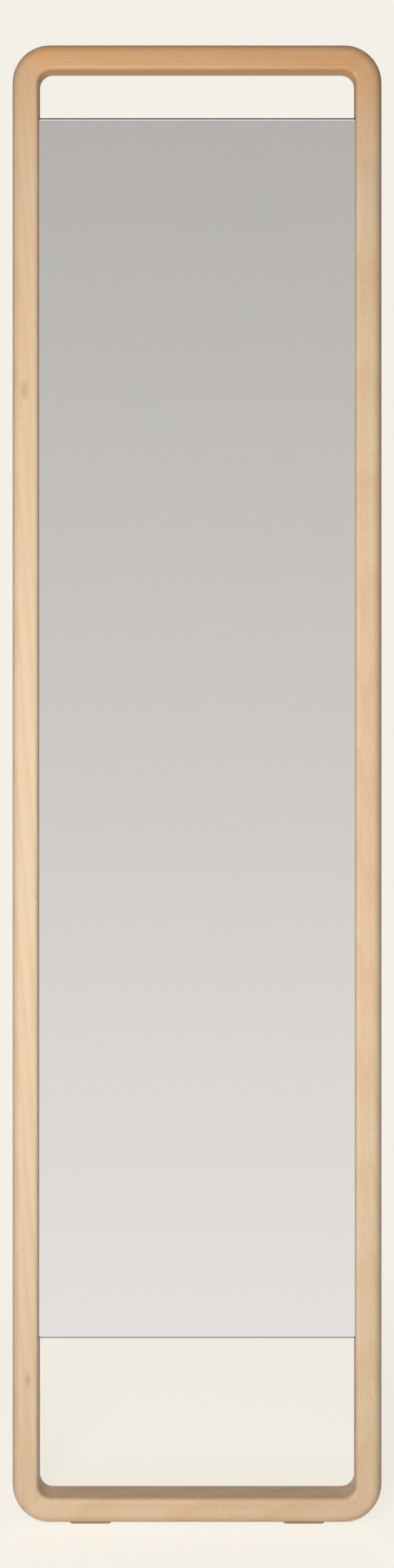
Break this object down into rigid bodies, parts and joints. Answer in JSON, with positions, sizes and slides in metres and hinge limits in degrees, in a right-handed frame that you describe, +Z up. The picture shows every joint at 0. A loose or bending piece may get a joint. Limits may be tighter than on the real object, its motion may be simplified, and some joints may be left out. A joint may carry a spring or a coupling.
{
  "type": "floor mirror",
  "caption": "Tall narrow floor mirror: rounded, mitred wood frame holding silvered glass between its stiles, open above and below, with swinging ring hangers behind.",
  "frame": {"origin": "on the floor, in the middle of the mirror's width and of its depth with the wall buffers", "axes": "+X to the right seen from the front, +Y towards the wall, +Z up; the glass faces -Y"},
  "size_m": [0.45, 0.038, 1.8015],
  "materials": {
    "frame_wood": "pale straight-grained wood, satin lacquer",
    "tenon_wood": "plain beech, as pressed",
    "silvered_glass": "clear silvered float glass, polished arris",
    "foam_tape": "double-sided foam tape",
    "birch_plywood": "sanded birch plywood",
    "zinc_plated_steel": "bright zinc plate",
    "rubber": "soft black rubber"
  },
  "bodies": {
    "frame": {"left_stile": "frame_wood", "right_stile": "frame_wood", "top_rail": "frame_wood", "bottom_rail": "frame_wood", "top_left_tenon": "tenon_wood", "top_right_tenon": "tenon_wood", "bottom_left_tenon": "tenon_wood", "bottom_right_tenon": "tenon_wood", "mirror_glass": "silvered_glass", "mounting_tape_1": "foam_tape", "mounting_tape_2": "foam_tape", "mounting_tape_3": "foam_tape", "mounting_tape_4": "foam_tape", "backing_board": "birch_plywood", "board_screws": "zinc_plated_steel", "left_hanger_strap": "zinc_plated_steel", "right_hanger_strap": "zinc_plated_steel", "hanger_screws": "zinc_plated_steel", "left_floor_pad": "rubber", "right_floor_pad": "rubber", "top_left_bumper": "rubber", "top_right_bumper": "rubber", "bottom_left_bumper": "rubber", "bottom_right_bumper": "rubber"},
    "left_ring": {"left_hanger_ring": "zinc_plated_steel"},
    "right_ring": {"right_hanger_ring": "zinc_plated_steel"}
  },
  "joints": [
    {"name": "left_ring_hinge", "type": "hinge", "parent": "frame", "child": "left_ring", "pos_m": [-0.209, 0.01523, 1.7465], "axis": [-1, 0, 0], "range_deg": [0, 178]},
    {"name": "right_ring_hinge", "type": "hinge", "parent": "frame", "child": "right_ring", "pos_m": [0.209, 0.01523, 1.7465], "axis": [-1, 0, 0], "range_deg": [0, 178]}
  ]
}
